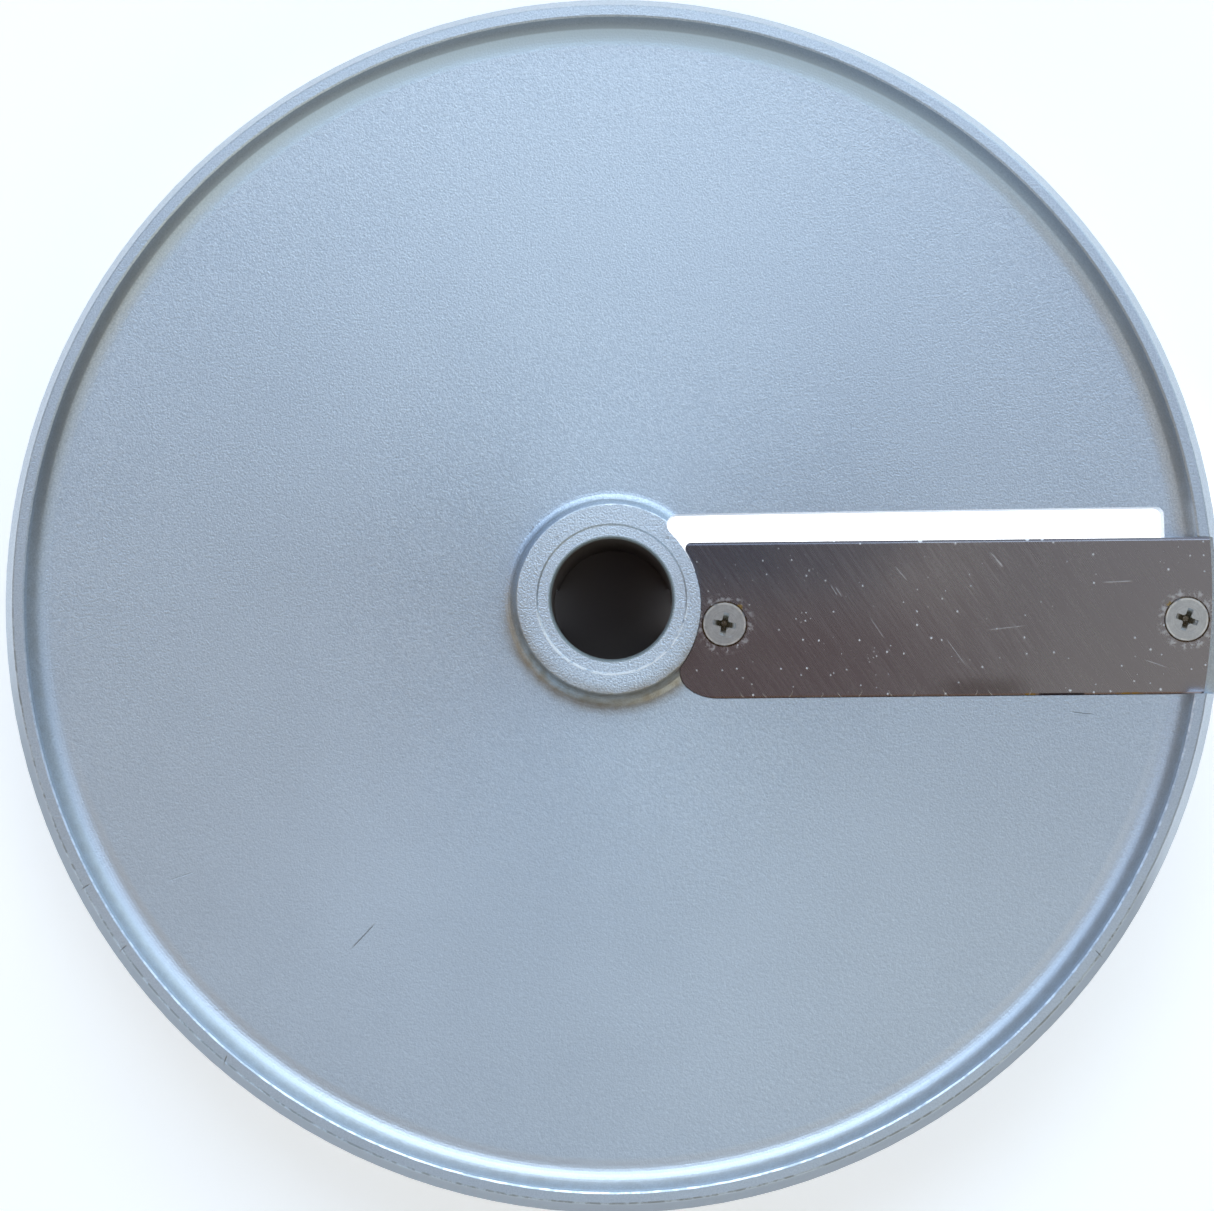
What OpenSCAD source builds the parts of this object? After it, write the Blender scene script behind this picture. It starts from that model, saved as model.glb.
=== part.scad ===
// Slicing disc for a vegetable cutter: a cast aluminium plate with a raised rim and a hub,
// a ground steel blade let into the plate, and the two countersunk screws that hold it.
// The origin is on the bore's axis at the hub's lower end. The blade points along +X and
// cuts towards +Y, so the disc turns anticlockwise seen from above.

/* [Plate and rim] */
// Diameter over the foot of the rim
disc_d = 205; // [185:1:230]
// Width of the bevel that leads from the rim's upright outer side to its top face
rim_bevel_w = 2; // [0.5:0.1:3]
// Height of that bevel
rim_bevel_h = 5; // [2:0.1:7]
// Width of the rim's top face
rim_face_w = 1.95; // [1.5:0.05:3.5]
// Height of the rim
rim_h = 12; // [10:0.5:15]
// Thickness of the rim's wall at its foot
rim_foot_w = 4; // [3:0.1:6]
// Depth of the plate below the rim's top face, beside the rim
dish_depth = 3.5; // [3.2:0.1:4.5]
// Rise of the plate from the rim to the hub
plate_rise = 0.4; // [0:0.1:1]
// Thickness of the plate beside the rim
plate_t = 4; // [3.4:0.1:5]
// Radius of the hollow corner inside the rim
rim_fillet_r = 4; // [1:0.1:5]
// Radius of the hollow corners on the underside
under_fillet_r = 2; // [0.5:0.1:3]
// Chamfer on the outer edge of the rim's top face
rim_outer_chamfer = 0.2; // [0.1:0.05:0.6]
// Width of the worn slope on the inner edge of the rim's top face, twice as wide as deep
rim_inner_chamfer = 0.3; // [0.1:0.05:0.6]

/* [Hub] */
// Diameter of the collar above the plate
collar_d = 32.1; // [30:0.1:33]
// Height of the collar's top face above the rim's top face
collar_proud = 1; // [0.5:0.1:3]
// Radius of the hollow corner at the collar's foot
collar_fillet_r = 2.4; // [1:0.1:3]
// Rounding of the collar's top edge
collar_edge_r = 0.25; // [0.1:0.05:0.8]
// Diameter of the shallow turned step in the collar's top face
step_d = 25.3; // [23:0.1:27]
// Depth of the turned step, and the width of its sloping wall
step_depth = 0.3; // [0.1:0.05:0.6]
// Diameter of the boss under the plate, at its lower end
boss_d = 28.4; // [26:0.2:42]
// Radius that the boss gains on its way up to the plate
boss_draft = 0.5; // [0:0.1:1.5]
// Distance from the boss's lower end up to the rim's foot
boss_drop = 18; // [12:0.5:26]
// Diameter of the bore for the drive shaft
bore_d = 20.2; // [18:0.1:21.5]
// Chamfer at both mouths of the bore
bore_chamfer = 0.35; // [0.1:0.05:0.8]
// Chamfer round the boss's lower end
boss_chamfer = 0.8; // [0.2:0.1:1.5]
// Width of the slot in the boss's lower end that takes the shaft's cross pin
drive_slot_w = 6.4; // [5:0.1:7.5]
// Depth of the drive slot
drive_slot_depth = 9; // [5:0.5:12]

/* [Blade] */
// Width of the blade seen from above
blade_w = 26; // [24:0.1:30]
// Thickness of the blade
blade_t = 2; // [1.6:0.1:2.4]
// Distance of the cutting edge in front of the bore's axis
edge_y = 9.35; // [8:0.05:10.5]
// Rise of the blade's top face from its back edge to its cutting edge
blade_rise = 3.25; // [2:0.05:3.6]
// Height of the blade's back edge above the plate beside the rim
back_proud = 0.22; // [0:0.02:0.4]
// Width of the ground bevel under the cutting edge
bevel_w = 4; // [2:0.1:5]
// Thickness left at the cutting edge
edge_t = 0.25; // [0.1:0.05:0.5]
// Width of the fine bevel on top of the cutting edge
top_bevel_w = 0.45; // [0.2:0.05:1]
// Angle of the fine bevel to the blade's top face
top_bevel_angle = 15; // [5:1:20]
// Radius of the hollow inner end that goes round the hub
hollow_r = 17.15; // [16:0.05:18.5]
// Distance of that hollow's centre behind the bore's axis, along the blade
hollow_back = 2.15; // [1:0.05:3]
// Distance of that hollow's centre below the bore's axis, across the blade
hollow_low = 1.04; // [0:0.02:2]
// Radius of the corner between the hollow end and the cutting edge
front_corner_r = 1; // [0.5:0.1:2]
// Length of the long oval corner between the hollow end and the back edge
back_corner_x = 6.4; // [3:0.1:8]
// Width of that oval corner
back_corner_y = 4.35; // [2:0.05:5.5]
// Distance of the blade's innermost point from the bore's axis, along the blade
blade_root_x = 11.35; // [11:0.05:12.5]
// Gap between the blade's edges and the seat cut for it
seat_gap = 0.12; // [0.05:0.01:0.3]
// Thickening of the plate under the blade
bed_t = 2; // [0.5:0.1:3]

/* [Slot] */
// Open width in front of the cutting edge, at the hub
slot_open = 5.05; // [4.6:0.05:7]
// Angle by which the slot's front edge opens towards the rim
slot_skew = 0.28; // [0:0.02:0.6]
// Distance of the slot's outer end from the rim's top outer edge
slot_inset = 7.5; // [6:0.1:10]
// Overhang of the blade above the slot
blade_overhang = 4.6; // [3:0.1:6]
// Slant of the slot's back wall under the blade, from upright
slot_rake = 30; // [0:1:40]
// Radius of the slot's outer corner
slot_corner_r = 1.4; // [0.5:0.1:2]
// Radius of the slot's corner beside the hub
slot_root_r = 2; // [1:0.1:2.2]

/* [Screws] */
// Diameter of the screws' thread
screw_d = 4; // [3:0.1:5]
// Diameter of the screws' heads
head_d = 7.4; // [6.6:0.1:7.8]
// Upright edge of the heads above their cone
head_edge = 0.25; // [0.1:0.05:0.4]
// Chamfer round the top of the heads
head_chamfer = 0.15; // [0.05:0.05:0.3]
// Length of the screws, with their heads
screw_l = 10; // [8:0.5:10]
// Distance of both screws behind the cutting edge
screw_back = 13.65; // [12:0.05:15]
// Distance of the inner screw from the bore's axis, along the blade
inner_screw_x = 18.85; // [18.8:0.05:24]
// Distance of the outer screw from the rim's top outer edge
outer_screw_inset = 4.2; // [4.2:0.1:8]
// Diameter of the clearance holes in the blade
blade_hole_d = 4.3; // [4.1:0.1:5.2]
// Gap round the threads in the tapped holes
thread_gap = 0.05; // [0.02:0.01:0.15]
// Run of the tapped holes past the lower ends of their bosses
tap_run = 0.4; // [0.3:0.05:1]
// Gap round the heads at the top of their countersinks
head_gap = 0.15; // [0.05:0.05:0.3]
// Diameter of the bosses that carry the screws
screw_boss_d = 10; // [8:0.5:12]
// Span of the cross recess
cross_span = 3.9; // [3:0.1:4.5]
// Width of the arms of the cross recess
cross_w = 0.95; // [0.6:0.05:1.2]
// Depth of the cross recess
cross_depth = 1.7; // [1:0.1:2]
// Turn of the inner screw's cross
inner_cross_turn = -11; // [-45:1:45]
// Turn of the outer screw's cross
outer_cross_turn = -20; // [-45:1:45]
// Diameter of the small round dimple between two arms of the cross
dimple_d = 1.1; // [0.6:0.1:1.3]
// Depth of the dimple
dimple_depth = 0.12; // [0.05:0.01:0.2]
// Distance of the dimple from the middle of the cross
dimple_reach = 1.9; // [1.6:0.05:2.3]
// Direction of the dimple from the middle of the cross
dimple_turn = -50; // [-60:1:-30]

/* [Hidden] */
$fn = 96;
// Overrun of every cutter past the face it opens
over = 1;
// Radii and levels of the casting
foot_r = disc_d / 2;
top_r = foot_r - rim_bevel_w;
dish_r = top_r - rim_face_w;
rim_inner_r = foot_r - rim_foot_w;
rim_foot_z = boss_drop;
rim_top_z = rim_foot_z + rim_h;
rim_inner_z = rim_top_z - rim_inner_chamfer / 2;
bevel_z = rim_top_z - rim_bevel_h;
plate_z = rim_top_z - dish_depth;
under_z = plate_z - plate_t;
collar_r = collar_d / 2;
collar_top_z = rim_top_z + collar_proud;
plate_slope = plate_rise / (dish_r - collar_r);
slope_angle = atan(plate_slope);
boss_r = boss_d / 2;
boss_top_r = boss_r + boss_draft;
bore_r = bore_d / 2;
// The blade's top face is a plane through its back edge
back_y = edge_y - blade_w;
blade_back_z = plate_z + back_proud;
blade_tilt = atan(blade_rise / blade_w);
hollow_c = [-hollow_back, -hollow_low];
bed_z = under_z - bed_t;
// The slot
slot_front_y = edge_y + slot_open;
slot_end_x = top_r - slot_inset;
slot_back_y = edge_y - blade_overhang;
// The screws
screw_y = edge_y - screw_back;
outer_screw_x = top_r - outer_screw_inset;
head_r = head_d / 2;
screw_r = screw_d / 2;
head_cone = head_r - screw_r;
sink_r = head_r + head_gap;

// Height of the plate's top face at a distance r from the axis
function plate_at(r) = plate_z + plate_slope * (dish_r - r);

// Height of the blade's top plane at a distance y across the blade
function blade_top_at(y) = blade_back_z + (y - back_y) * tan(blade_tilt);

// Points along an arc about c, from one angle to another
function arc(c, r, from, to, steps = 8) = [
    for (i = [0 : steps])
        let (a = from + (to - from) * i / steps)
            c + r * [cos(a), sin(a)]
];

// Centre of a hollow corner of radius r that runs into the plate's top face at its lower end.
// side is -1 where the wall is outside the corner and 1 where it is inside it. reach is the
// distance from the corner's centre to the wall.
function plate_corner_centre(wall_r, r, side, reach) = [
    wall_r + side * reach,
    plate_at(wall_r + side * reach) + r * sqrt(1 + plate_slope * plate_slope)
];

// Half section of the boss and the plate's underside, from the bore outwards
function under_side() = concat(
    [
        [bore_r - over, 0],
        [boss_r - boss_chamfer, 0],
        [boss_r, boss_chamfer]
    ],
    arc([boss_top_r + under_fillet_r, under_z - under_fillet_r], under_fillet_r, 180, 90),
    arc([rim_inner_r - under_fillet_r, under_z - under_fillet_r], under_fillet_r, 90, 0)
);

// Half section of the rim: a thick foot, an upright outer side, a bevel and a narrow top face
function rim_side() = [
    [rim_inner_r, rim_foot_z],
    [foot_r, rim_foot_z],
    [foot_r, bevel_z],
    [top_r + rim_bevel_w * rim_outer_chamfer / rim_bevel_h, rim_top_z - rim_outer_chamfer],
    [top_r - rim_outer_chamfer, rim_top_z],
    [dish_r + rim_inner_chamfer, rim_top_z]
];

// Half section of the plate's top face between its two hollow corners, from the rim inwards. A
// corner that is higher than the dish is cut off at the rim's inner edge, else a wall meets it.
function dish_side() =
    let (
        r = rim_fillet_r,
        cut = max(0, plate_corner_centre(dish_r, r, -1, r)[1] - rim_inner_z),
        c = plate_corner_centre(dish_r, r, -1, sqrt(r * r - cut * cut)),
        hub_r = collar_fillet_r,
        hub_c = plate_corner_centre(collar_r, hub_r, 1, hub_r)
    )
    concat(
        cut > 0 ? [] : [[dish_r, rim_inner_z]],
        arc(c, r, -asin(cut / r), -90 - slope_angle, 12),
        arc(hub_c, hub_r, 270 - slope_angle, 180)
    );

// Half section of the collar's top with its turned step
function collar_side() = concat(
    arc([collar_r - collar_edge_r, collar_top_z - collar_edge_r], collar_edge_r, 0, 90, 5),
    [
        [step_d / 2, collar_top_z],
        [step_d / 2 - step_depth, collar_top_z - step_depth],
        [bore_r - over, collar_top_z - step_depth]
    ]
);

// The turned body of the casting, before it is bored and cut
module turned_body() {
    rotate_extrude($fn = 180)
        polygon(concat(under_side(), rim_side(), dish_side(), collar_side()));
}

// The bore with its two chamfered mouths
module bore_cutter() {
    mouth_z = collar_top_z - step_depth;
    mouth_r = bore_r + bore_chamfer;
    translate([0, 0, -over]) cylinder(r = bore_r, h = collar_top_z + 2 * over);
    translate([0, 0, -over]) cylinder(r1 = mouth_r + over, r2 = bore_r, h = bore_chamfer + over);
    translate([0, 0, mouth_z - bore_chamfer])
        cylinder(r1 = bore_r, r2 = mouth_r + over, h = bore_chamfer + over);
}

// The slot across the boss's lower end
module drive_slot_cutter() {
    translate([-boss_top_r - over, -drive_slot_w / 2, -over])
        cube([2 * (boss_top_r + over), drive_slot_w, drive_slot_depth + over]);
}

// Round corner between the blade's hollow end and its cutting edge, as the waste outside it
module front_corner_cut(gap) {
    r = front_corner_r;
    c = [
        hollow_c[0] + sqrt(pow(hollow_r + r, 2) - pow(edge_y - r - hollow_c[1], 2)),
        edge_y - r
    ];
    top_y = edge_y + gap + over;
    difference() {
        polygon([c, [c[0], top_y], [hollow_c[0], top_y], hollow_c]);
        translate(c) circle(r + gap, $fn = 32);
    }
}

// Oval corner between the blade's hollow end and its back edge, as the waste outside it
module back_corner_cut(gap) {
    c = [blade_root_x + back_corner_x, back_y + back_corner_y];
    steps = 14;
    polygon(concat(
        [
            for (i = [0 : steps])
                let (a = 180 + 90 * i / steps)
                    c + [(back_corner_x + gap) * cos(a), (back_corner_y + gap) * sin(a)]
        ],
        [[c[0], back_y - 2 * over], [0, back_y - 2 * over], [0, c[1]]]
    ));
}

// Outline of the blade seen from above, grown by gap. Its outer end is turned with the rim
// unless open is true, which runs it out past the rim.
module blade_outline(gap = 0, open = false) {
    end_r = open ? foot_r + over : top_r;
    difference() {
        intersection() {
            translate([blade_root_x - gap, back_y - gap])
                square([end_r - blade_root_x + gap, blade_w + 2 * gap]);
            circle(end_r, $fn = 180);
        }
        translate(hollow_c) circle(hollow_r - gap);
        front_corner_cut(gap);
        back_corner_cut(gap);
    }
}

// Places children in the blade's own frame: X along the blade, Y across it towards the
// cutting edge, Z square to its top face, with the back edge of the top face on the X axis
module on_blade() {
    translate([0, back_y, blade_back_z]) rotate([blade_tilt, 0, 0]) children();
}

// Places children at a screw: Z is the screw's axis and zero is the blade's top face
module at_screw(x) {
    translate([x, screw_y, blade_top_at(screw_y)]) rotate([blade_tilt, 0, 0]) children();
}

// Slab in the blade's frame between two depths under its top face
module blade_slab(depth, height) {
    on_blade()
        translate([0, -blade_w / 2, -depth])
            cube([foot_r + over, 2 * blade_w, height]);
}

// Block of the casting that carries the blade, and the two bosses that carry its screws. It
// reaches up past the seat, which is cut afterwards.
module blade_bed() {
    difference() {
        union() {
            translate([0, 0, bed_z])
                linear_extrude(rim_top_z - bed_z) blade_outline();
            for (x = [inner_screw_x, outer_screw_x])
                translate([x, screw_y + screw_lean(), rim_foot_z])
                    cylinder(d = screw_boss_d, h = under_z - rim_foot_z + plate_t / 2);
        }
        outside_rim();
    }
}

// Shift across the blade of the leaning screw at the level of the boss's middle
function screw_lean() = (blade_top_at(screw_y) - (rim_foot_z + under_z) / 2) * tan(blade_tilt);

// Everything outside the rim's outer side, to trim what is added to the turned body
module outside_rim() {
    difference() {
        translate([0, 0, rim_foot_z - over])
            cylinder(r = foot_r + 3 * over, h = rim_h + 2 * over, $fn = 180);
        translate([0, 0, rim_foot_z - 2 * over])
            cylinder(r = foot_r, h = bevel_z - rim_foot_z + 2 * over, $fn = 180);
        translate([0, 0, bevel_z])
            cylinder(r1 = foot_r, r2 = top_r, h = rim_bevel_h, $fn = 180);
    }
}

// Seat for the blade: its outline above its lower face, run out through the rim
module seat_cutter() {
    intersection() {
        translate([0, 0, bed_z])
            linear_extrude(collar_top_z + over - bed_z) blade_outline(seat_gap, true);
        blade_slab(blade_t, blade_t + rim_h);
    }
}

// Outline of the slot seen from above, with room behind it for the slanted back wall
module slot_outline() {
    reach = hollow_r - seat_gap;
    r = slot_root_r;
    root = [
        hollow_c[0] + sqrt(pow(reach + r, 2) - pow(slot_front_y - r - hollow_c[1], 2)),
        slot_front_y - r
    ];
    top_y = slot_front_y + over;
    end_c = [slot_end_x - slot_corner_r, slot_front_y - slot_corner_r];
    difference() {
        translate([root[0], slot_front_y]) rotate(slot_skew) translate([-root[0], -slot_front_y]) {
            translate([hollow_c[0], hollow_c[1]])
                square([slot_end_x - hollow_c[0], end_c[1] - hollow_c[1]]);
            translate([hollow_c[0], hollow_c[1]])
                square([end_c[0] - hollow_c[0], slot_front_y - hollow_c[1]]);
            translate(end_c) circle(slot_corner_r, $fn = 32);
        }
        translate(hollow_c) circle(reach);
        difference() {
            polygon([root, [root[0], top_y], [hollow_c[0], top_y], hollow_c]);
            translate(root) circle(r, $fn = 48);
        }
    }
}

// The slot, with the slanted wall that lets the slices fall away under the blade
module slot_cutter() {
    low_z = bed_z - over;
    high_z = collar_top_z + over;
    knee_z = plate_z;
    foot_y = slot_back_y - (knee_z - low_z) * tan(slot_rake);
    front_y = slot_front_y + 3 * over;
    intersection() {
        translate([0, 0, low_z]) linear_extrude(high_z - low_z) slot_outline();
        rotate([90, 0, 90])
            linear_extrude(slot_end_x + over)
                polygon([
                    [foot_y, low_z],
                    [front_y, low_z],
                    [front_y, high_z],
                    [slot_back_y, high_z],
                    [slot_back_y, knee_z]
                ]);
    }
}

// Tapped hole through a screw boss, cut from the blade's top face down
module tapped_hole() {
    depth = (blade_top_at(screw_y) - rim_foot_z) / cos(blade_tilt) + tap_run;
    translate([0, 0, -depth])
        cylinder(r = screw_r + thread_gap, h = depth, $fn = 48);
}

module disc_casting() {
    color("lightsteelblue") difference() {
        union() {
            turned_body();
            blade_bed();
        }
        seat_cutter();
        slot_cutter();
        bore_cutter();
        drive_slot_cutter();
        for (x = [inner_screw_x, outer_screw_x])
            at_screw(x) tapped_hole();
    }
}

// Countersunk hole in the blade, cut from its top face
module blade_hole() {
    translate([0, 0, -blade_t - over])
        cylinder(d = blade_hole_d, h = blade_t + 2 * over, $fn = 48);
    translate([0, 0, -head_edge - head_cone])
        cylinder(r1 = screw_r, r2 = sink_r, h = head_cone + head_gap, $fn = 64);
    translate([0, 0, head_gap - head_edge])
        cylinder(r = sink_r, h = head_edge + over, $fn = 64);
}

// Wedges taken off the cutting edge: a wide one below and a fine one on top
module bevel_cutter() {
    across = blade_w / cos(blade_tilt);
    top_drop = top_bevel_w * tan(top_bevel_angle);
    slope = (blade_t - top_drop - edge_t) / bevel_w;
    on_blade() rotate([90, 0, 90]) linear_extrude(foot_r + over) {
        polygon([
            [across - bevel_w, -blade_t],
            [across + over, -top_drop - edge_t + over * slope],
            [across + over, -blade_t - over],
            [across - bevel_w, -blade_t - over]
        ]);
        polygon([
            [across - top_bevel_w, 0],
            [across + over, -top_drop - over * tan(top_bevel_angle)],
            [across + over, over],
            [across - top_bevel_w, over]
        ]);
    }
}

module blade() {
    color("slategray") difference() {
        intersection() {
            translate([0, 0, bed_z])
                linear_extrude(collar_top_z + over - bed_z) blade_outline();
            blade_slab(blade_t, blade_t);
        }
        bevel_cutter();
        for (x = [inner_screw_x, outer_screw_x])
            at_screw(x) blade_hole();
    }
}

// Cross recess: two crossed arms that taper to a point, with the round dimple beside them
module cross_recess(turn) {
    rotate(turn) {
        intersection() {
            translate([0, 0, -cross_depth])
                cylinder(d1 = cross_w, d2 = cross_span, h = cross_depth + 0.01, $fn = 48);
            for (a = [0, 90])
                rotate(a)
                    translate([-cross_span, -cross_w / 2, -cross_depth])
                        cube([2 * cross_span, cross_w, cross_depth + over]);
        }
        translate([0, 0, -cross_depth])
            cylinder(d1 = 0.6 * cross_w, d2 = 1.9 * cross_w, h = cross_depth + 0.01, $fn = 32);
        rotate(dimple_turn)
            translate([dimple_reach, 0, -dimple_depth])
                cylinder(d = dimple_d, h = over, $fn = 24);
    }
}

// Countersunk screw, its head level with the blade's top face
module countersunk_screw(turn) {
    color("gainsboro") difference() {
        union() {
            translate([0, 0, -head_chamfer])
                cylinder(r1 = head_r, r2 = head_r - head_chamfer, h = head_chamfer, $fn = 64);
            translate([0, 0, -head_edge])
                cylinder(r = head_r, h = head_edge - head_chamfer, $fn = 64);
            translate([0, 0, -head_edge - head_cone])
                cylinder(r1 = screw_r, r2 = head_r, h = head_cone, $fn = 64);
            translate([0, 0, -screw_l + 0.4])
                cylinder(r = screw_r, h = screw_l - 0.4 - head_edge - head_cone, $fn = 48);
            translate([0, 0, -screw_l])
                cylinder(r1 = screw_r - 0.4, r2 = screw_r, h = 0.4, $fn = 48);
        }
        cross_recess(turn);
    }
}

module inner_screw() {
    at_screw(inner_screw_x) countersunk_screw(inner_cross_turn);
}

module outer_screw() {
    at_screw(outer_screw_x) countersunk_screw(outer_cross_turn);
}

disc_casting();
blade();
inner_screw();
outer_screw();
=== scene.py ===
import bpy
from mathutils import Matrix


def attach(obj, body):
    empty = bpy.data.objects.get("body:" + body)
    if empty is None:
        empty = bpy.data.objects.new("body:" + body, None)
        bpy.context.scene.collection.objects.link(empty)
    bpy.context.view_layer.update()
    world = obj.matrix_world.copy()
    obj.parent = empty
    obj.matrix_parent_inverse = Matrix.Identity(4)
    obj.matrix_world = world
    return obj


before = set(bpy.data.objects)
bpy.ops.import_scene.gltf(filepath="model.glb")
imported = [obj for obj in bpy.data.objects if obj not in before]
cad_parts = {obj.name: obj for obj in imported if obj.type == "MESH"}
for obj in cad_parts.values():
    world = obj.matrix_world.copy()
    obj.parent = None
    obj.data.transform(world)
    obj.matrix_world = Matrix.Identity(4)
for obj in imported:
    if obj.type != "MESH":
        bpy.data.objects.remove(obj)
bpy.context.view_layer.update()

import math
import random

import bpy
from mathutils import Matrix, Vector

MM = 0.001

# The casting, in millimetres as in part.scad
RIM_TOP = 30.0
RIM_R = 100.5
DISH_R = 98.55
PLATE_TOP = 26.7
COLLAR_R = 16.05
STEP_R = 12.65
BORE_R = 10.1
BOSS_R = 14.2

# The blade and its screws
BLADE_BACK = -16.65
BLADE_EDGE = 9.35
BLADE_BACK_Z = 26.72
BLADE_SLOPE = 3.25 / 26
SCREWS = ((18.85, -4.3), (96.3, -4.3))
HEAD_R = 3.7


class Graph:
    """The shader nodes of one material or world, with positions in millimetres."""

    def __init__(self, owner, coordinates="Object", unit=MM):
        owner.use_nodes = True
        self.owner = owner
        self.tree = owner.node_tree
        self.tree.nodes.clear()
        place = self.node("ShaderNodeTexCoord").outputs[coordinates]
        self.place = self.vector("SCALE", place, Scale=1 / unit)
        self.x, self.y, self.z = self.node(
            "ShaderNodeSeparateXYZ", {"Vector": self.place}).outputs
        self.flat = self.join(self.x, self.y, 0.0)

    def plug(self, socket, value):
        if isinstance(value, bpy.types.NodeSocket):
            self.tree.links.new(value, socket)
        else:
            socket.default_value = value

    def node(self, kind, inputs=None, **settings):
        made = self.tree.nodes.new(kind)
        for key, value in settings.items():
            setattr(made, key, value)
        for key, value in (inputs or {}).items():
            self.plug(made.inputs[key], value)
        return made

    def calc(self, operation, *values, clamp=False):
        made = self.node("ShaderNodeMath", operation=operation, use_clamp=clamp)
        for slot, value in zip(made.inputs, values):
            self.plug(slot, value)
        return made.outputs[0]

    def chain(self, operation, values):
        result = values[0]
        for value in values[1:]:
            result = self.calc(operation, result, value)
        return result

    def product(self, *values):
        return self.chain("MULTIPLY", values)

    def total(self, *values):
        return self.chain("ADD", values)

    def most(self, *values):
        return self.chain("MAXIMUM", values)

    def swing(self, value, size):
        """A value about 0.5 turned into a change of that size about zero."""
        return self.calc("MULTIPLY", self.calc("SUBTRACT", value, 0.5), size)

    def vector(self, operation, *values, Scale=None):
        made = self.node("ShaderNodeVectorMath", operation=operation)
        for slot, value in zip(made.inputs, values):
            self.plug(slot, value)
        if Scale is not None:
            self.plug(made.inputs["Scale"], Scale)
        scalar = operation in ("LENGTH", "DISTANCE", "DOT_PRODUCT")
        return made.outputs["Value" if scalar else "Vector"]

    def join(self, x, y, z):
        return self.node("ShaderNodeCombineXYZ", {"X": x, "Y": y, "Z": z}).outputs[0]

    def ramp(self, value, low, high, start=0.0, end=1.0):
        """start below low, end above high, and a smooth change between them."""
        made = self.node("ShaderNodeMapRange", interpolation_type="SMOOTHSTEP")
        for key, number in zip(("Value", "From Min", "From Max", "To Min", "To Max"),
                               (value, low, high, start, end)):
            self.plug(made.inputs[key], number)
        return made.outputs["Result"]

    def band(self, value, middle, half, soft):
        """1 within half of middle, and 0 beyond soft more."""
        away = self.calc("ABSOLUTE", self.calc("SUBTRACT", value, middle))
        return self.ramp(away, half, half + soft, 1.0, 0.0)

    def reach(self, x=0.0, y=0.0):
        """Distance from a point, seen from above."""
        return self.vector("DISTANCE", self.flat, (x, y, 0.0))

    def spot(self, x, y, half, soft):
        return self.ramp(self.reach(x, y), half, half + soft, 1.0, 0.0)

    def stroke(self, x, y, angle, length, width):
        """1 on a thin straight mark seen from above, centred at a point and fading at its ends."""
        turn = math.radians(angle)
        away = self.vector("SUBTRACT", self.flat, (x, y, 0.0))
        along = self.vector("DOT_PRODUCT", away, (math.cos(turn), math.sin(turn), 0.0))
        across = self.vector("DOT_PRODUCT", away, (-math.sin(turn), math.cos(turn), 0.0))
        return self.product(self.band(along, 0.0, 0.25 * length, 0.25 * length),
                            self.band(across, 0.0, 0.3 * width, 0.4 * width))

    def noise(self, scale, detail=2.0, rough=0.5, place=None):
        made = self.node("ShaderNodeTexNoise", {
            "Vector": place or self.place, "Scale": scale, "Detail": detail,
            "Roughness": rough})
        return made.outputs["Fac"]

    def stretched(self, angle, along, across, detail=2.0, shift=0.0):
        """Noise drawn out along a direction seen from above, for grinding marks."""
        turned = self.node("ShaderNodeVectorRotate", {
            "Vector": self.place, "Angle": -math.radians(angle)},
            rotation_type="Z_AXIS").outputs[0]
        scaled = self.vector("MULTIPLY", turned, (along, across, across * 0.2))
        moved = self.vector("ADD", scaled, (shift, 2 * shift, 0))
        return self.noise(1.0, detail, 0.6, moved)

    def specks(self, spacing, size, share):
        """Small uneven dots, one in that share of the cells of a scattered grid."""
        cells = self.node("ShaderNodeTexVoronoi", {
            "Vector": self.flat, "Scale": 1 / spacing}, voronoi_dimensions="2D")
        chosen = self.node("ShaderNodeSeparateColor", {"Color": cells.outputs["Color"]})
        radius = self.calc("MULTIPLY", chosen.outputs["Green"], size / spacing)
        wobble = self.swing(self.noise(7.0, 2.0, 0.6), 1.6 * size / spacing)
        dot = self.ramp(self.total(cells.outputs["Distance"], wobble,
                                   self.calc("MULTIPLY", radius, -1.0)),
                        -0.3 * size / spacing, 0.3 * size / spacing, 1.0, 0.0)
        return self.product(dot, self.ramp(chosen.outputs["Red"], share - 0.01, share, 1.0, 0.0))

    def mix(self, factor, first, second):
        made = self.node("ShaderNodeMix", data_type="RGBA")
        self.plug(made.inputs[0], factor)
        self.plug(made.inputs[6], first)
        self.plug(made.inputs[7], second)
        return made.outputs[2]

    def stain(self, base, *marks):
        """base with each mark's colour laid over it in turn."""
        for mask, colour in marks:
            base = self.mix(mask, base, (*colour, 1.0))
        return base

    def bump(self, height):
        """Normal from a height in millimetres."""
        return self.node("ShaderNodeBump", {"Height": height, "Distance": MM}).outputs[0]

    def finish(self, **inputs):
        names = {key.replace("_", " "): value for key, value in inputs.items()}
        shader = self.node("ShaderNodeBsdfPrincipled", names)
        out = self.node("ShaderNodeOutputMaterial")
        self.tree.links.new(shader.outputs[0], out.inputs["Surface"])
        return self.owner


def material(name):
    return Graph(bpy.data.materials.new(name))


def polar(radius, angle):
    turn = math.radians(angle)
    return radius * math.cos(turn), radius * math.sin(turn)


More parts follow.
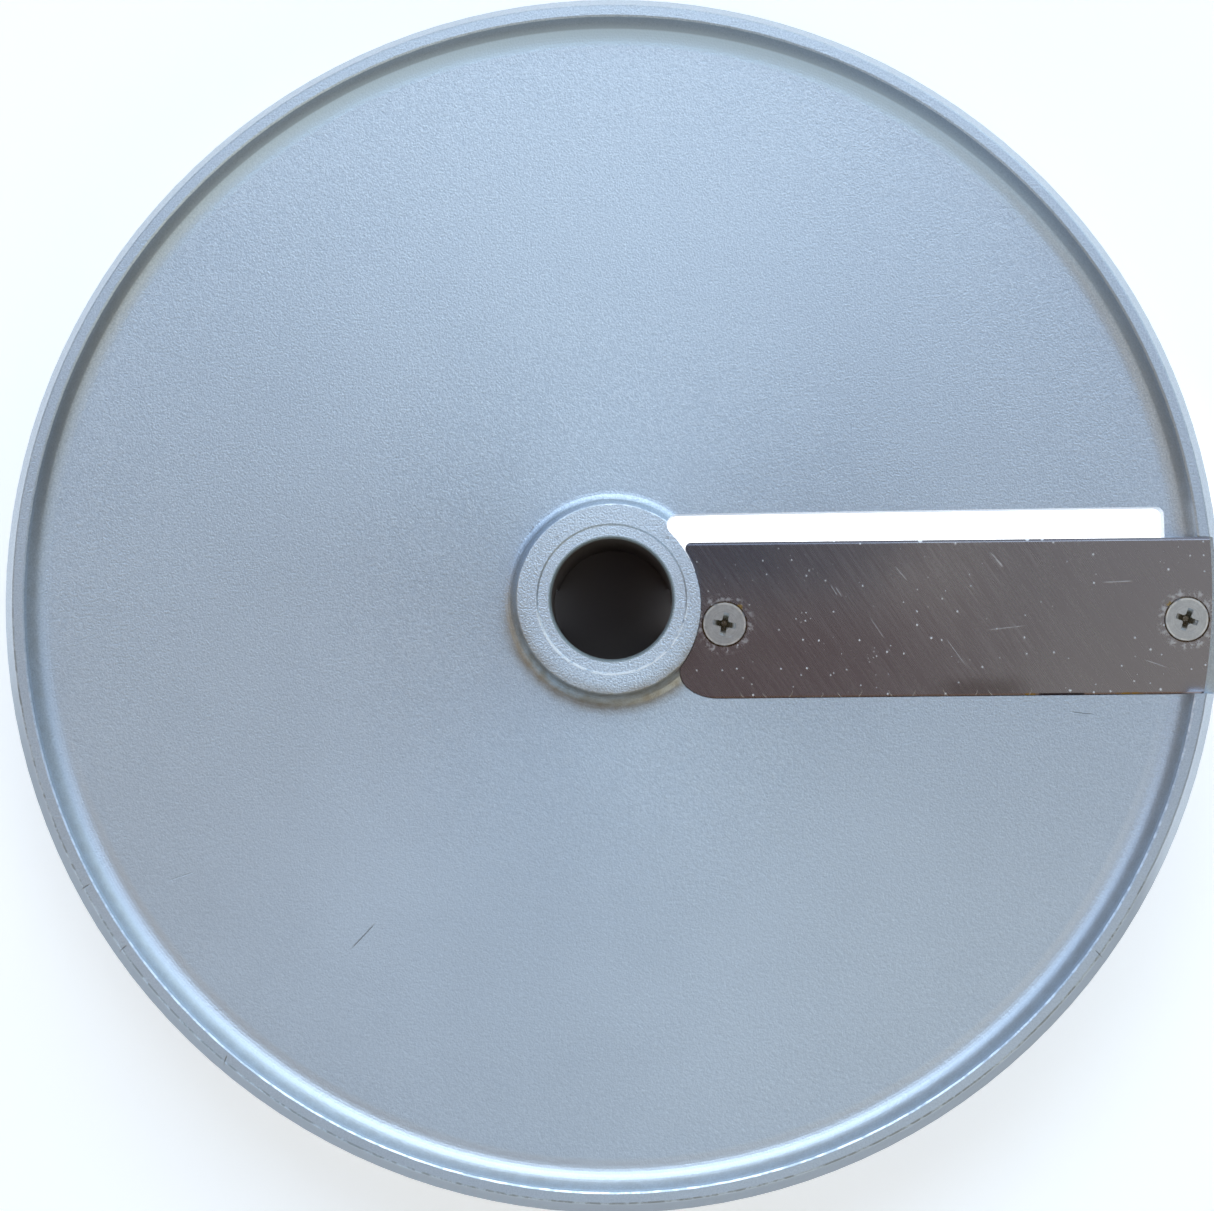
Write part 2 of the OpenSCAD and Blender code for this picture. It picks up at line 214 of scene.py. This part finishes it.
def cast_aluminium():
    """Blasted aluminium, with painted highlights along its edges and on the rim's inner fillet, painted
    light on the collar and painted brown shade in its corners and bore.
    """
    g = material("cast_aluminium_look")
    r = g.reach()
    grain = g.noise(3.0, 1.0, 0.5)
    pores = g.noise(5.5, 1.0, 0.5)
    peel = g.noise(1.2, 1.0, 0.4)
    cloud = g.noise(0.035, 3.0, 0.55)
    patches = g.noise(0.45, 3.0, 0.65)
    rings = g.noise(1.0, 3.0, 0.6, g.join(g.calc("MULTIPLY", r, 1.1), 0.0, 0.0))
    on_rim = g.ramp(g.z, RIM_TOP - 0.5, RIM_TOP - 0.2)
    collar = g.product(on_rim, g.band(r, 13.1, 2.7, 0.2))
    coarse = g.most(g.ramp(g.y, -60.0, 30.0, 0.5, 1.0), g.calc("MULTIPLY", collar, 1.7))
    speckle = g.calc("MULTIPLY", g.total(g.swing(grain, 1.6), g.swing(pores, 1.2)), coarse)
    # Painted shade: the plate darker near the hub and below its top strip, less so on the left.
    plate_painted_shade = g.product(g.ramp(r, 25.0, 75.0, 1.0, 0.35), g.ramp(g.x, -45.0, -15.0, 0.2, 1.0),
                     g.ramp(g.y, 90.0, 50.0), g.ramp(r, COLLAR_R, COLLAR_R + 1.0))
    tone = g.total(0.5, g.swing(cloud, 0.25), g.swing(rings, 0.10), speckle,
                   g.calc("MULTIPLY", plate_painted_shade, -0.28))
    base = g.mix(g.calc("MAXIMUM", tone, 0.0, clamp=True),
                 (0.56, 0.62, 0.69, 1), (0.78, 0.83, 0.89, 1))

    above = g.ramp(g.z, PLATE_TOP - 3.0, PLATE_TOP - 2.0)
    broken = g.ramp(patches, 0.42, 0.58)
    inner_slope = g.product(on_rim, g.band(r, DISH_R + 0.15, 0.15, 0.1))
    # Painted highlight: a light broken line on the rim's inner edge in the lower half.
    inner_edge_highlight = g.product(inner_slope, broken, g.ramp(g.y, 5.0, -15.0))
    steep = g.product(above, g.band(r, DISH_R - 0.7, 0.7, 0.3), g.ramp(g.z, 29.9, 29.6))
    inner_shade = g.product(g.most(g.product(inner_slope, g.ramp(g.x, 60.0, 85.0)), steep),
                            g.ramp(g.y, 0.0, 30.0), 0.5)
    # The rim's inner fillet in the lower half: smoother for real, and lightened as a painted highlight.
    polish_and_highlight = g.product(above, g.band(r, DISH_R - 3.0, 1.5, 1.0), g.ramp(g.y, -10.0, -50.0))
    # Painted highlight: the rim's inner fillet towards the top lightened and made less metallic.
    fillet_painted_highlight = g.product(above, g.band(r, DISH_R - 2.6, 1.1, 0.9),
                       g.ramp(g.y, 45.0, 95.0, 0.0, 0.85))
    # Painted shade: a dark broken line along the rim's outer edge in the lower half.
    outer_edge_shade = g.product(on_rim, g.band(r, RIM_R - 0.1, 0.1, 0.15), broken,
                           g.ramp(g.y, 10.0, -20.0), g.ramp(g.x, 92.0, 86.0))
    # Painted shade: the rim's outer wall darker in the lower half, except on the right.
    outside_painted_shade = g.product(g.ramp(r, RIM_R, RIM_R + 0.2), g.ramp(g.y, 0.0, -30.0),
                        g.ramp(g.x, 94.0, 86.0))
    # Painted highlight: a light broken line on the collar's edge in the upper half; both lines are also
    # made smoother.
    collar_edge_highlight = g.product(on_rim, g.band(r, COLLAR_R - 0.15, 0.1, 0.15), broken,
                            g.ramp(g.y, -4.0, 6.0))
    edge_highlights = g.most(inner_edge_highlight, collar_edge_highlight)
    glint = g.product(on_rim, g.band(r, STEP_R - 0.08, 0.16, 0.12), g.ramp(g.y, 2.0, -6.0),
                      g.ramp(patches, 0.35, 0.50))

    # Painted shade: brown darkening in the rim's foot fillet, less at the top, and in the hub's foot
    # fillet below it, broken up in patches.
    rim_foot_shade = g.product(above, g.band(r, DISH_R - 0.8, 0.3, 1.4), g.band(g.z, 28.0, 0.7, 0.5),
                         g.ramp(g.y, 75.0, 45.0))
    hub_foot_shade = g.product(above, g.band(r, COLLAR_R + 0.8, 0.5, 2.6), g.ramp(g.y, 4.0, -10.0))
    corner_painted_shade = g.product(g.most(g.calc("MULTIPLY", rim_foot_shade, 0.35), hub_foot_shade),
                      g.ramp(patches, 0.25, 0.75, 0.5, 1.0))
    # Painted shade: a dark band round the top of the bore, also less metallic.
    mouth_shade = g.product(on_rim, g.band(r, BORE_R + 0.28, 0.20, 0.12), 0.75)
    # Painted shade: the bore's wall dark brown, and rougher.
    bore = g.ramp(r, BORE_R + 0.1, BORE_R + 0.2, 1.0, 0.0)

    scratches = g.most(
        g.stroke(-42.3, -56.0, 46, 7.0, 0.16),
        g.calc("MULTIPLY", g.stroke(-72.9, -45.7, 18, 5.2, 0.15), 0.4),
        g.stroke(78.7, -19.8, -7, 4.4, 0.15))
    nicks = g.most(*(g.stroke(*polar(RIM_R - 0.2, angle), angle + lean, 2.2, 0.2)
                     for angle, lean in ((-145, 5), (-36.7, -8), (-151.9, 0), (-130.5, 20))))
    pits = g.most(g.spot(-9.05, 10.28, 0.22, 0.15), g.spot(9.34, 10.08, 0.25, 0.15),
                  g.stroke(-13.4, 12.0, 60, 1.6, 0.3))
    dark = g.most(scratches, nicks, g.calc("MULTIPLY", pits, 0.5))
    # Painted light: the collar's top face lightened and tinted, more towards +Y.
    collar_painted_light = g.product(collar, g.ramp(g.y, -12.0, 0.0, 0.05, 0.2))
    base = g.stain(base, (collar_painted_light, (0.84, 0.91, 1.0)),
                   (fillet_painted_highlight, (0.76, 0.90, 1.0)),
                   (g.calc("MULTIPLY", polish_and_highlight, 0.5), (0.86, 0.88, 0.90)),
                   (outside_painted_shade, (0.38, 0.42, 0.47)), (corner_painted_shade, (0.37, 0.33, 0.28)),
                   (inner_shade, (0.28, 0.30, 0.33)), (outer_edge_shade, (0.40, 0.42, 0.44)),
                   (g.calc("MULTIPLY", dark, 0.75), (0.24, 0.24, 0.25)),
                   (edge_highlights, (0.88, 0.92, 0.96)), (glint, (1.0, 1.0, 1.0)),
                   (bore, (0.16, 0.135, 0.125)), (mouth_shade, (0.28, 0.33, 0.33)))

    height = g.total(g.product(grain, coarse, 0.045), g.product(pores, coarse, 0.020),
                     g.calc("MULTIPLY", peel, 0.02), g.calc("MULTIPLY", rings, 0.004),
                     g.calc("MULTIPLY", dark, -0.05))
    rough = g.total(g.ramp(g.z, 28.5, 29.5, 0.50, 0.46), g.swing(cloud, 0.06),
                    g.product(g.ramp(r, COLLAR_R + 2.8, COLLAR_R + 1.0),
                              g.ramp(g.z, 29.8, 29.4), -0.10),
                    g.calc("MULTIPLY", polish_and_highlight, -0.07),
                    g.calc("MULTIPLY", edge_highlights, -0.12), g.calc("MULTIPLY", bore, 0.2))
    tangent = g.node("ShaderNodeTangent", direction_type="RADIAL", axis="Z").outputs[0]
    metal = g.total(1.0, g.calc("MULTIPLY", glint, -0.8), g.calc("MULTIPLY", mouth_shade, -0.5),
                    g.calc("MULTIPLY", fillet_painted_highlight, -0.9))
    return g.finish(Base_Color=base, Metallic=metal, Roughness=rough, Normal=g.bump(height),
                    Anisotropic=0.45, Anisotropic_Rotation=0.25, Tangent=tangent)


def ground_steel():
    """Ground steel with slanting marks, white specks, scuffs round the screws and rust."""
    g = material("ground_steel_look")
    marks = g.stretched(-55, 0.10, 4.0, 4.0)
    fine = g.stretched(-57, 0.45, 12.0, 2.0, 7.0)
    cross = g.stretched(-42, 0.16, 6.0, 3.0, 4.0)
    cloud = g.noise(0.06, 3.0, 0.55)
    mottle = g.noise(0.9, 4.0, 0.7)
    strong = g.ramp(g.x, 88.0, 60.0, 0.25, 1.0)
    grey = g.total(g.swing(marks, 0.35), g.swing(fine, 0.6), g.swing(cross, 0.3))
    tone = g.total(0.5, g.calc("MULTIPLY", grey, strong), g.swing(cloud, 0.3))
    base = g.mix(g.calc("MAXIMUM", tone, 0.0, clamp=True),
                 (0.405, 0.39, 0.42, 1), (0.59, 0.575, 0.61, 1))

    # Painted reflections: the blade darker and bluer near the hub in its upper half, and purplish towards
    # the lower left.
    near_hub = g.ramp(g.total(g.x, g.swing(cloud, 40.0)), 12.0, 60.0, 1.0, 0.0)
    blue_reflection = g.product(near_hub, g.ramp(g.y, -8.0, 8.0), 0.85)
    violet_reflection = g.product(g.ramp(g.x, 80.0, 30.0), g.ramp(g.y, 6.0, -10.0), 0.6)
    # Painted shade: the cutting edge's bevel nearly black, a little less towards the right end.
    edge = g.product(g.ramp(g.y, BLADE_EDGE - 0.4, BLADE_EDGE - 0.3),
                     g.ramp(g.x, 70.0, 88.0, 0.9, 0.78))

    screws = g.calc("MINIMUM", g.reach(*SCREWS[0]), g.reach(*SCREWS[1]))
    scuffs = g.product(g.band(screws, 1.2 * HEAD_R, 0.1, 0.9), g.ramp(mottle, 0.50, 0.62))
    rust = g.product(g.ramp(screws, HEAD_R + 0.08, HEAD_R + 0.2, 1.0, 0.0),
                     g.ramp(g.y, SCREWS[0][1] + 1.0, SCREWS[0][1] - 1.5, 0.3, 1.0))
    glue = g.product(g.most(g.spot(21.4, -1.5, 0.3, 0.4), g.spot(93.2, -1.6, 0.2, 0.4)),
                     g.ramp(mottle, 0.42, 0.5))

    crowd = g.most(*(g.spot(x, y, 0.4, 1.4) for x, y in (
        (20.3, 2.9), (33.2, 3.7), (32.4, -3.3), (34.3, -8.4), (39.3, -9.6), (43.5, -10.2))))
    specks = g.most(g.specks(2.3, 0.17, 0.3), g.specks(5.1, 0.22, 0.3),
                    g.product(g.specks(0.75, 0.16, 0.5), crowd))
    lines = g.most(
        g.stroke(64.5, 6.0, -48, 3.6, 0.16), g.stroke(64.9, 5.4, -50, 2.0, 0.22),
        g.stroke(84.7, 2.1, 2, 5.5, 0.14), g.stroke(38.0, 0.9, -57, 2.2, 0.14),
        g.stroke(37.2, 1.2, -57, 2.4, 0.12), g.stroke(48.5, 3.8, -50, 3.4, 0.12),
        g.stroke(66.0, -5.4, 6, 7.0, 0.10), g.stroke(91.0, -11.6, -20, 4.2, 0.10),
        g.stroke(44.4, -5.2, -56, 5.0, 0.10), g.stroke(57.7, -9.5, -54, 6.5, 0.10))
    notches = g.most(g.spot(51.7, BLADE_EDGE - 0.1, 0.25, 0.2), g.spot(37.3, BLADE_EDGE, 0.1, 0.1),
                     g.spot(69.6, BLADE_EDGE, 0.25, 0.15), g.spot(72.1, BLADE_EDGE, 0.2, 0.15))
    worn = g.most(g.calc("MULTIPLY", scuffs, 0.4), g.calc("MULTIPLY", specks, 0.9),
                  g.calc("MULTIPLY", lines, 0.4), notches)

    back = g.ramp(g.y, BLADE_BACK + 0.35, BLADE_BACK + 0.2)
    rusty = g.product(back, g.most(g.band(g.x, 70.0, 0.7, 0.3), g.band(g.x, 86.7, 2.0, 0.6)),
                      g.ramp(mottle, 0.42, 0.5))
    # Painted shade: near-black along two stretches of the back edge, where the blade meets its seat.
    gap_shade = g.product(back, g.most(g.band(g.x, 75.3, 3.6, 0.4), g.band(g.x, 99.4, 0.5, 0.4)))
    shade = g.product(g.band(g.x, 62.0, 3.0, 7.0), g.ramp(g.y, -12.5, -15.5), 0.6)
    sheen = g.calc("MULTIPLY", g.spot(53.0, 4.0, 3.0, 15.0), 0.35)
    base = g.stain(base, (sheen, (0.66, 0.63, 0.64)), (blue_reflection, (0.23, 0.25, 0.33)),
                   (violet_reflection, (0.31, 0.24, 0.27)), (shade, (0.22, 0.18, 0.18)), (edge, (0.10, 0.085, 0.09)),
                   (back, (0.40, 0.29, 0.25)), (gap_shade, (0.08, 0.06, 0.07)),
                   (rusty, (0.55, 0.33, 0.08)), (rust, (0.20, 0.13, 0.07)),
                   (glue, (0.62, 0.45, 0.14)), (worn, (0.88, 0.88, 0.90)))

    height = g.total(g.product(marks, strong, 0.002), g.product(fine, strong, 0.001),
                     g.product(cross, strong, 0.001), g.calc("MULTIPLY", worn, 0.01))
    rough = g.total(0.27, g.product(g.swing(marks, 0.12), strong),
                    g.calc("MULTIPLY", worn, 0.3))
    return g.finish(Base_Color=base, Metallic=g.ramp(worn, 0.0, 1.0, 1.0, 0.35),
                    Roughness=rough, Normal=g.bump(height))


def screw_steel():
    """Turned steel with painted shade in the cross, painted highlights on the head and a brown line round
    the head.
    """
    g = material("screw_steel_look")
    r = g.calc("MINIMUM", g.reach(*SCREWS[0]), g.reach(*SCREWS[1]))
    face = g.total(BLADE_BACK_Z - BLADE_SLOPE * BLADE_BACK, g.calc("MULTIPLY", g.y, BLADE_SLOPE))
    depth = g.calc("SUBTRACT", face, g.z)
    grain = g.noise(3.0, 3.0, 0.6)
    cloud = g.noise(0.7, 2.0, 0.5)
    turning = g.noise(1.0, 2.0, 0.6, g.join(g.calc("MULTIPLY", r, 5.0), 0.0, 0.0))
    tone = g.total(0.5, g.swing(turning, 1.1), g.swing(cloud, 0.9), g.swing(grain, 0.7))
    base = g.mix(g.calc("MAXIMUM", tone, 0.0, clamp=True),
                 (0.55, 0.57, 0.60, 1), (0.88, 0.90, 0.93, 1))
    # Painted shade: darker further down in the cross, also smoother.
    recess_shade = g.product(g.ramp(depth, 0.25, 0.9), g.ramp(grain, 0.3, 0.6, 0.6, 1.0))
    rim = g.product(g.band(r, HEAD_R, 0.06, 0.12), g.ramp(cloud, 0.40, 0.55))
    # Painted highlights: white just inside the head's edge and white bits on the cross's walls.
    ring_highlight = g.product(g.band(r, HEAD_R - 0.25, 0.12, 0.12), g.ramp(cloud, 0.35, 0.55))
    lip_glint = g.product(g.band(depth, 0.40, 0.08, 0.10), g.ramp(grain, 0.35, 0.50))
    base = g.stain(base, (g.most(ring_highlight, lip_glint), (1.0, 1.0, 1.0)), (recess_shade, (0.22, 0.19, 0.13)),
                   (rim, (0.42, 0.30, 0.17)))
    height = g.total(g.calc("MULTIPLY", turning, 0.006), g.calc("MULTIPLY", grain, 0.006))
    rough = g.total(0.36, g.swing(grain, 0.2), g.calc("MULTIPLY", recess_shade, -0.1))
    return g.finish(Base_Color=base, Metallic=1.0, Roughness=rough, Normal=g.bump(height))


def burr_steel():
    g = material("burr_steel_look")
    grain = g.noise(6.0, 2.0, 0.6)
    base = g.mix(grain, (0.50, 0.42, 0.34, 1), (0.85, 0.76, 0.64, 1))
    return g.finish(Base_Color=base, Metallic=0.3, Roughness=0.5,
                    Normal=g.bump(g.calc("MULTIPLY", grain, 0.004)))


def burrs():
    """The fine curled burrs that stand along the blade's back edge."""
    chance = random.Random(4)
    data = bpy.data.curves.new("back_edge_burrs", "CURVE")
    data.dimensions = "3D"
    data.bevel_depth = 0.045 * MM
    data.bevel_resolution = 1
    x = 22.0
    while x < 71:
        length = chance.uniform(0.6, 1.1)
        lean = chance.uniform(-0.5, 0.5)
        spline = data.splines.new("POLY")
        steps = 7
        spline.points.add(steps)
        for i, point in enumerate(spline.points):
            t = i / steps
            y = BLADE_BACK + 0.05 + length * t
            lift = 0.01 + 0.16 * math.sin(math.pi * t)
            z = BLADE_BACK_Z + (y - BLADE_BACK) * BLADE_SLOPE + lift
            curl = lean * t + 0.3 * length * math.sin(2.2 * t) * (1 if lean > 0 else -1)
            point.co = (*(Vector((x + curl, y, z)) * MM), 1)
            point.radius = 1.0 - 0.6 * t
        x += chance.uniform(2.0, 6.5)
    piece = bpy.data.objects.new("back_edge_burrs", data)
    bpy.context.scene.collection.objects.link(piece)
    data.materials.append(burr_steel())
    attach(piece, "root")


def floor():
    """A pale, softly glowing table, with painted dark shade inside the hub's foot, where the hub stands
    on it.
    """
    size = 4.0
    mesh = bpy.data.meshes.new("floor")
    mesh.from_pydata([(-size, -size, 0), (size, -size, 0), (size, size, 0), (-size, size, 0)],
                     [], [(0, 1, 2, 3)])
    piece = bpy.data.objects.new("floor", mesh)
    bpy.context.scene.collection.objects.link(piece)
    g = material("floor_look")
    # Painted shade: the table dark and without glow under the hub, seen through the bore.
    clear_of_shade = g.ramp(g.reach(), BORE_R + 2.0, BOSS_R)
    piece.data.materials.append(g.finish(
        Base_Color=g.mix(clear_of_shade, (0.17, 0.145, 0.13, 1), (0.90, 0.90, 0.90, 1)), Roughness=0.8,
        Emission_Color=(1, 1, 1, 1), Emission_Strength=g.calc("MULTIPLY", clear_of_shade, 0.4)))


def area_light(name, place, aim, size, power, colour, spread=180):
    data = bpy.data.lights.new(name, "AREA")
    data.shape = "RECTANGLE"
    data.size, data.size_y = size
    data.energy = power
    data.color = colour
    data.spread = math.radians(spread)
    light = bpy.data.objects.new(name, data)
    light.location = place
    light.rotation_euler = (Vector(aim) - Vector(place)).to_track_quat("-Z", "Y").to_euler()
    bpy.context.scene.collection.objects.link(light)


def studio():
    """Soft lights in a dark room. Each has its angle from overhead, its direction round the
    disc, its half width in degrees and its colour."""
    g = Graph(bpy.data.worlds.new("studio"), "Generated", 1.0)
    lights = (
        (42, 90, 17, (2.2, 2.7, 3.15)),
        (42, 135, 17, (0.5, 0.75, 1.15)),
        (42, 45, 17, (0.25, 0.35, 0.6)),
        (20, 30, 13, (0.50, 0.60, 0.76)),
        (42, 315, 17, (1.15, 1.15, 0.95)),
        (42, 195, 20, (0.55, 0.42, 0.25)),
        (20, 270, 13, (0.08, 0.05, 0.05)),
        (68, 45, 20, (0.7, 0.95, 1.1)),
        (68, 225, 20, (0.4, 0.6, 0.8)),
        (68, 270, 20, (0.4, 0.44, 0.43)))
    sky = (0.05, 0.045, 0.04)
    for overhead, round_disc, half, colour in lights:
        tilt = math.radians(overhead)
        aim = Vector((*polar(math.sin(tilt), round_disc), math.cos(tilt)))
        glow = g.ramp(g.vector("DOT_PRODUCT", g.place, tuple(aim)),
                      math.cos(math.radians(1.6 * half)), math.cos(math.radians(0.6 * half)))
        sky = g.vector("ADD", sky, g.vector("SCALE", colour, Scale=glow))
    shader = g.node("ShaderNodeBackground", {"Color": sky})
    out = g.node("ShaderNodeOutputWorld")
    g.tree.links.new(shader.outputs[0], out.inputs["Surface"])
    bpy.context.scene.world = g.owner


def camera():
    azimuth, elevation, roll = (math.radians(a) for a in (10.3, 86.85, -10.88))
    target = Vector((-0.81, -1.06, RIM_TOP)) * MM
    away = 0.6
    back = Vector((math.sin(azimuth) * math.cos(elevation),
                   -math.cos(azimuth) * math.cos(elevation), math.sin(elevation)))
    level = Vector((math.cos(azimuth), math.sin(azimuth), 0))
    right = level * math.cos(roll) + back.cross(level) * math.sin(roll)
    up = back.cross(right)
    data = bpy.data.cameras.new("camera")
    data.sensor_fit = "HORIZONTAL"
    data.sensor_width = 36
    data.lens = 106.35
    data.clip_start = 0.01
    made = bpy.data.objects.new("camera", data)
    made.matrix_world = Matrix.Translation(target + back * away) @ \
        Matrix((right, up, back)).transposed().to_4x4()
    bpy.context.scene.collection.objects.link(made)
    bpy.context.scene.camera = made


LOOKS = {
    "disc_casting": cast_aluminium(),
    "blade": ground_steel(),
}
LOOKS["inner_screw"] = LOOKS["outer_screw"] = screw_steel()
for name, look in LOOKS.items():
    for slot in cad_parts[name].material_slots:
        slot.material = look

burrs()
camera()
floor()
studio()
area_light("slot_light", (0.0535, 0.012, 0.019), (0.0535, 0.012, 0), (0.084, 0.008), 0.009,
           (1, 1, 1), 120)

bpy.context.scene.view_settings.view_transform = "Standard"
